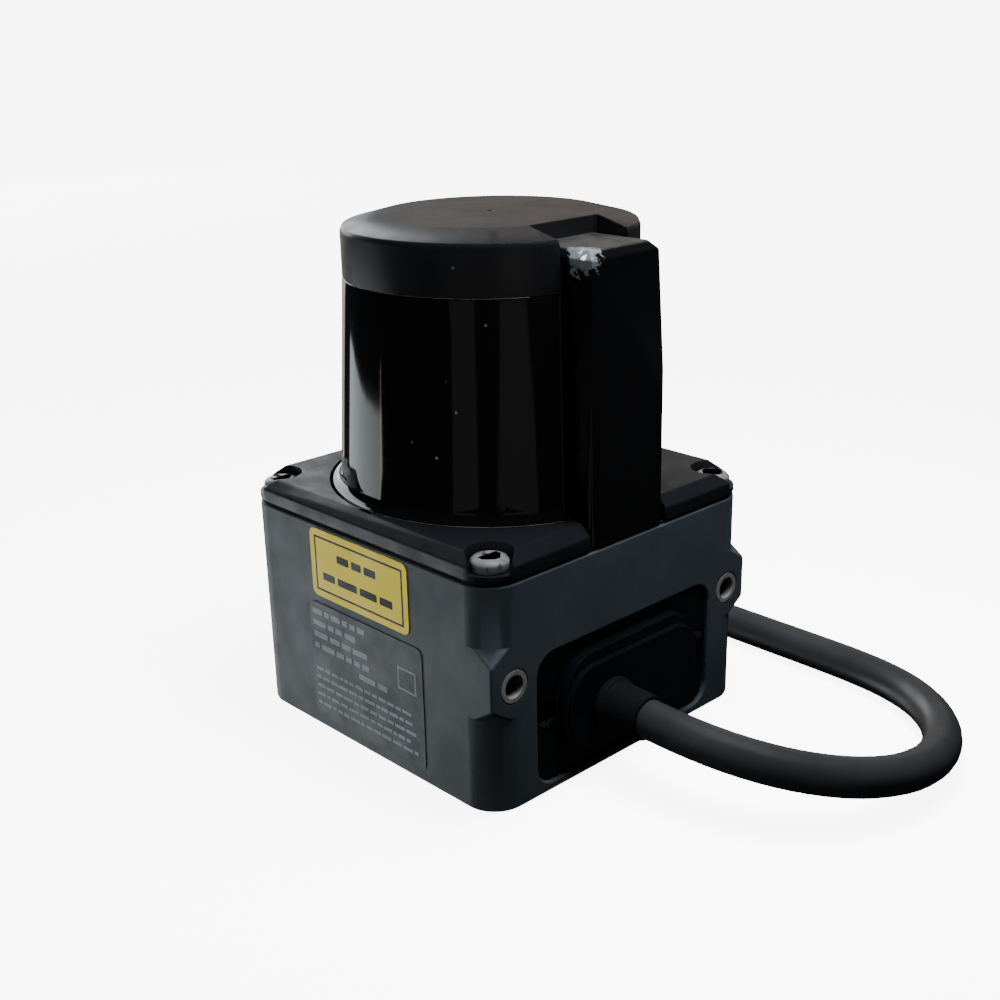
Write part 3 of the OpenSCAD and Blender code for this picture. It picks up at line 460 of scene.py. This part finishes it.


# Grey of the beads at the window's foot and the cap joint: a painted highlight line, not a glue colour
@material("glue")
def glue(n):
    moulded(n, [0.05, 0.05, 0.048], 0.4, 900, 0.03)


@material("board_green")
def board_green(n):
    """Solder mask with tracks showing faintly under it."""
    tracks = n.add("ShaderNodeTexBrick")
    n.link(n.place, tracks.inputs["Vector"])
    tracks.inputs["Scale"].default_value = 420
    tracks.inputs["Mortar Size"].default_value = 0.08
    n.set(Base_Color=n.mix(tracks.outputs["Fac"], [0.008, 0.07, 0.035], [0.02, 0.13, 0.06]), Roughness=0.38)
    n.set(Normal=n.bump(tracks.outputs["Fac"], 0.03 * MM, 0.4))


PLAIN = {
    "chip_black": lambda n: moulded(n, [0.012, 0.012, 0.013], 0.6),
    "connector_ivory": lambda n: moulded(n, [0.6, 0.56, 0.45], 0.45, spread=1.1),
    "spacer_brass": lambda n: worked(n, [0.55, 0.4, 0.16], 0.3),
    "motor_alloy": lambda n: worked(n, [0.5, 0.51, 0.53], 0.35),
    "sensor_gold": lambda n: worked(n, [0.65, 0.48, 0.2], 0.22),
    "stator_steel": lambda n: worked(n, [0.25, 0.26, 0.27], 0.45, (1, 1, 30)),
    "coil_copper": lambda n: worked(n, [0.5, 0.2, 0.07], 0.28, (1, 1, 40)),
    "bearing_steel": lambda n: worked(n, [0.62, 0.63, 0.65], 0.16),
    "rotor_alloy": lambda n: worked(n, [0.58, 0.59, 0.61], 0.3),
    "bell_steel": lambda n: worked(n, [0.35, 0.36, 0.38], 0.34),
    "magnet_dark": lambda n: moulded(n, [0.06, 0.06, 0.065], 0.5),
    "encoder_black": lambda n: moulded(n, [0.01, 0.01, 0.01], 0.3),
    "head_black": lambda n: moulded(n, [0.008, 0.008, 0.008], 0.7),
    "mirror_coat": lambda n: worked(n, [0.85, 0.87, 0.9], 0.08),
    "flex_amber": lambda n: moulded(n, [0.45, 0.2, 0.03], 0.35),
    "tie_black": lambda n: moulded(n, [0.01, 0.01, 0.01], 0.5),
    "plug_black": lambda n: moulded(n, [0.01, 0.01, 0.011], 0.55),
    "contact_gold": lambda n: worked(n, [0.65, 0.46, 0.18], 0.25),
    "nut_zinc": lambda n: worked(n, [0.55, 0.55, 0.53], 0.25),
}
for slot_name, build in PLAIN.items():
    material(slot_name)(build)


@material("lens_glass")
def lens_glass(n):
    moulded(n, [0.8, 0.86, 0.9], 0.1, 400, 0.002)
    n.set(Transmission_Weight=0.9, IOR=1.5)


SLOT_OF = {row["node"]: row["material_slot"] for row in frame["record"]["subparts"]}


# Millimetres that each node's edges are rounded by
ROUNDED = {
    "base_housing": 0.3,
    "top_flange": 0.2,
    "scan_window": 0.2,
    "top_cap": 0.12,
    "rear_panel": 0.2,
    "cover_screws": 0.12,
    "panel_screws": 0.06,
    "lug_inserts": 0.08,
    "strain_relief": 0.15,
    "plug_body": 0.12,
    "plug_nut": 0.15,
    "cable_tie": 0.12,
}
SHARP = math.radians(32)
CROWDED = math.radians(35)


def body_of(name):
    bodies = frame["record"]["behaviour"]["bodies"]
    return next(body for body, names in bodies.items() if name in names)


def crowded_places(shape, sharp):
    """Corners where two sharp edges leave almost together, too tight for a rounding."""
    places = []
    for vert in shape.verts:
        ways = [(e.other_vert(vert).co - vert.co).normalized() for e in vert.link_edges if e in sharp]
        if any(a.angle(b, 0) < CROWDED for i, a in enumerate(ways) for b in ways[i + 1 :]):
            places.append(vert.co.copy())
    return places


def rounded_mesh(source, width):
    """A copy of a CAD mesh with its sharp edges rounded."""
    shape = bmesh.new()
    shape.from_mesh(source)
    bmesh.ops.remove_doubles(shape, verts=shape.verts, dist=1e-6)
    bmesh.ops.dissolve_limit(shape, angle_limit=math.radians(0.5), verts=shape.verts, edges=shape.edges)
    sharp = {e for e in shape.edges if e.is_manifold and e.calc_face_angle(0) > SHARP}
    tree = KDTree(len(shape.verts))
    places = crowded_places(shape, sharp)
    for index, place in enumerate(places):
        tree.insert(place, index)
    tree.balance()
    chosen = [e for e in sharp if not places or all(tree.find(v.co)[2] > 3 * width for v in e.verts)]
    bmesh.ops.bevel(
        shape, geom=chosen, offset=width, segments=2, profile=0.5, affect="EDGES", clamp_overlap=False
    )
    mesh = bpy.data.meshes.new("rounded")
    shape.to_mesh(mesh)
    shape.free()
    shade(mesh)
    return mesh


def shade(mesh, angle=40):
    """Smooth shading with hard lines kept where faces meet steeply."""
    mesh.polygons.foreach_set("use_smooth", [True] * len(mesh.polygons))
    mesh.set_sharp_from_angle(angle=math.radians(angle))


def weigh_normals(made):
    weighted = made.modifiers.new("weighted", "WEIGHTED_NORMAL")
    weighted.keep_sharp = True
    weighted.weight = 80


def soften_edges():
    for name, width in ROUNDED.items():
        made = add_piece(name + "_soft", rounded_mesh(NODES[name].data, width * MM))
        made.matrix_world = NODES[name].matrix_world
        weigh_normals(made)
        dress(made, SLOT_OF[name], body_of(name), name)


def dress(made, slot, body, *replaced):
    """Material, body and replaced nodes of a new piece."""
    made.data.materials.clear()
    made.data.materials.append(BUILDERS[slot]())
    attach(made, body)
    if replaced:
        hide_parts(*replaced)


def dress_nodes():
    """Every CAD node gets its slot's material."""
    for name, node in NODES.items():
        node.data.materials.clear()
        node.data.materials.append(BUILDERS[SLOT_OF[name]]())


# ---- small pieces that only the looks need --------------------------------------------------

LABEL_FACE = 25.12
PRINT_T = 0.02


def prism(shape, outline, y0, y1):
    """Adds a closed outline in X and Z, drawn through from y0 to y1, to a mesh being built."""
    near = [shape.verts.new(Vector((x, y0, z)) * MM) for x, z in outline]
    far = [shape.verts.new(Vector((x, y1, z)) * MM) for x, z in outline]
    shape.faces.new(near)
    shape.faces.new(far[::-1])
    for i in range(len(outline)):
        j = (i + 1) % len(outline)
        shape.faces.new((near[j], near[i], far[i], far[j]))


def pill(x0, x1, z0, z1, radius):
    """Outline of a bar with rounded corners."""
    outline = []
    for cx, cz, start in ((x1, z1, 0), (x0, z1, 90), (x0, z0, 180), (x1, z0, 270)):
        mid_x = cx - radius if cx == x1 else cx + radius
        mid_z = cz - radius if cz == z1 else cz + radius
        for step in (0, 45, 90):
            angle = math.radians(start + step)
            outline.append((mid_x + radius * math.cos(angle), mid_z + radius * math.sin(angle)))
    return outline


def words(shape, rng, x_start, x_end, z, height, least=1.0, most=3.2):
    """A row of plain bars, with gaps between them like those of printed words."""
    x = x_start
    while x - x_end > least:
        length = min(rng.uniform(least, most), x - x_end)
        bar = pill(x - length, x, z - height / 2, z + height / 2, height * 0.12)
        prism(shape, bar, LABEL_FACE - 0.01, LABEL_FACE + PRINT_T)
        x -= length + height * 0.55


def frame_lines(shape, x0, x1, z0, z1, line):
    for bar in (
        (x0, x1, z0, z0 + line),
        (x0, x1, z1 - line, z1),
        (x0, x0 + line, z0 + line, z1 - line),
        (x1 - line, x1, z0 + line, z1 - line),
    ):
        prism(shape, pill(*bar, line * 0.1), LABEL_FACE - 0.01, LABEL_FACE + PRINT_T)


def finish_print(name, shape, slot):
    bmesh.ops.recalc_face_normals(shape, faces=shape.faces)
    mesh = bpy.data.meshes.new(name)
    shape.to_mesh(mesh)
    shape.free()
    dress(add_piece(name, mesh), slot, "housing")


def make_printing():
    """Plain bars and frames in place of the labels' printing."""
    rng = random.Random(7)
    shape = bmesh.new()
    frame_lines(shape, -9.0, 9.45, 21.55, 29.55, 0.3)
    words(shape, rng, 4.6, -3.6, 27.2, 1.1, 1.6, 4.5)
    words(shape, rng, 7.9, -7.6, 23.9, 1.1, 2.4, 5.6)
    finish_print("warning_print", shape, "label_print_black")
    shape = bmesh.new()
    rows = ((10.9, -0.5), (10.9, 0.4), (10.9, -2.0), (10.9, -1.2))
    for index, (start, stop) in enumerate(rows):
        words(shape, rng, start, stop, 18.0 - 1.75 * index, 0.85)
    words(shape, rng, 1.2, -6.4, 11.1, 0.85, 1.6, 4.0)
    for index in range(5):
        words(shape, rng, 10.9, -10.9 + rng.uniform(0, 1.5), 9.2 - 1.35 * index, 0.5, 0.7, 2.2)
    frame_lines(shape, -10.9, -7.2, 12.3, 15.6, 0.3)
    finish_print("data_print", shape, "label_print_grey")


def ring_bead(name, radius, height, start, stop, thickness, seed, slot):
    """An uneven bead along an arc round the scan axis, in degrees from +X."""
    rng = random.Random(seed)
    points, radii = [], []
    for degree in range(start, stop + 1):
        angle = math.radians(degree)
        reach = radius + rng.uniform(-0.02, 0.02)
        points.append(Vector((reach * math.cos(angle), reach * math.sin(angle), height)) * MM)
        radii.append(thickness * rng.uniform(0.45, 1.0) * MM)
    radii = [(a + b + c) / 3 for a, b, c in zip([radii[0]] + radii, radii, radii[1:] + [radii[-1]])]
    dress(tube(name, points, radii, 2), slot, "housing")


def make_highlight_beads():
    # Thin beads on the side facing the camera only; their grey is a painted highlight line along the window's
    # foot and the cap joint
    ring_bead("window_foot_highlight_bead", 22.98, 34.72, 75, 158, 0.05, 3, "glue")
    ring_bead("cap_joint_highlight_bead", 19.93, 63.0, 60, 150, 0.03, 5, "glue")


# ---- stage --------------------------------------------------------------------------------


def make_stage():
    """Pale floor that curves up into a backdrop all round."""
    profile = [
        (0, 0), (0.9, 0), (1.15, 0.02), (1.35, 0.09),
        (1.5, 0.22), (1.58, 0.4), (1.62, 0.7), (1.64, 1.1),
    ]
    mesh = bpy.data.meshes.new("floor")
    shape = bmesh.new()
    line = [shape.verts.new((x, 0, z)) for x, z in profile]
    edges = [shape.edges.new(pair) for pair in zip(line, line[1:])]
    bmesh.ops.spin(shape, geom=line + edges, cent=(0, 0, 0), axis=(0, 0, 1), angle=2 * math.pi, steps=96)
    bmesh.ops.remove_doubles(shape, verts=shape.verts, dist=1e-5)
    bmesh.ops.recalc_face_normals(shape, faces=shape.faces)
    shape.to_mesh(mesh)
    shape.free()
    floor = bpy.data.objects.new("floor", mesh)
    bpy.context.scene.collection.objects.link(floor)
    for face in mesh.polygons:
        face.use_smooth = True
    n = Nodes("floor_paper")
    n.set(Base_Color=n.mix(n.noise(30, 3), [0.8, 0.8, 0.8], [0.84, 0.84, 0.84]), Roughness=0.9)
    n.set(Emission_Color=(1, 1, 1, 1), Emission_Strength=FLOOR_GLOW)
    n.set(Normal=n.bump(n.noise(200, 3), 0.05 * MM, 0.2))
    floor.data.materials.append(n.material)
    floor.visible_glossy = False
    floor.visible_diffuse = False


FLOOR_GLOW = 7.0
WORLD_GLOW = 0.03

# Degrees to the left of the line from the object to the camera, elevation, distance from the object,
# width, height, roll, radiance and colour
LAMPS = {
    "window_left": (112, -24, 0.6, 0.5, 0.3, -2, 2.2, (0.9, 0.97, 1)),
    "window_back": (150, 19, 0.7, 0.5, 0.5, 0, 3.2, (0.9, 0.96, 1)),
    "wall_back": (195, 19, 0.7, 0.5, 0.5, 0, 0.3, (1, 0.82, 0.66)),
    "warm_edge": (153, -14, 0.6, 0.08, 0.5, 0, 1.1, (1, 0.8, 0.62)),
    "thin_line": (90, -11, 0.55, 0.006, 0.07, 0, 3.0, (1, 0.6, 0.45)),
    "room_left": (21, -12, 0.6, 0.18, 0.5, 0, 0.16, (1, 0.95, 0.95)),
    "room_right": (-16, -12, 0.6, 0.27, 0.5, 0, 0.16, (1, 0.95, 0.95)),
    "fill_left": (58, 4, 0.6, 0.4, 0.4, 0, 4.5, (0.93, 0.97, 1)),
    "fill_right": (-66, 72, 0.13, 0.08, 0.08, 0, 50.0, (0.93, 0.97, 1)),
}
# Soft lights that the glossy surfaces don't mirror
UNMIRRORED = ("fill_left", "fill_right")


def make_lights():
    world = bpy.data.worlds.new("world")
    world.use_nodes = True
    world.node_tree.nodes["Background"].inputs["Color"].default_value = (0.8, 0.88, 1, 1)
    world.node_tree.nodes["Background"].inputs["Strength"].default_value = WORLD_GLOW
    bpy.context.scene.world = world
    for name, (left, elevation, distance, width, height, roll, radiance, colour) in LAMPS.items():
        data = bpy.data.lights.new(name, "AREA")
        data.shape = "RECTANGLE"
        data.size, data.size_y = width, height
        data.energy = radiance * math.pi * width * height
        data.color = colour
        lamp = add_piece(name, data)
        azimuth, rise = math.radians(CAMERA_AZIMUTH - left), math.radians(elevation)
        level = math.cos(rise)
        away = Vector((math.sin(azimuth) * level, -math.cos(azimuth) * level, math.sin(rise)))
        lamp.location = away * distance + Vector((0, 0, 0.035))
        turn = away.to_track_quat("Z", "Y").to_matrix() @ Matrix.Rotation(math.radians(roll), 3, "Z")
        lamp.rotation_euler = turn.to_euler()
        lamp.visible_camera = False
        lamp.visible_glossy = name not in UNMIRRORED


# ---- making it all ----------------------------------------------------------------------

make_camera()
cable = make_cable()
dress_nodes()
cable.data.materials.clear()
cable.data.materials.append(BUILDERS["cable_jacket"]())
soften_edges()
make_printing()
make_highlight_beads()
make_stage()
make_lights()
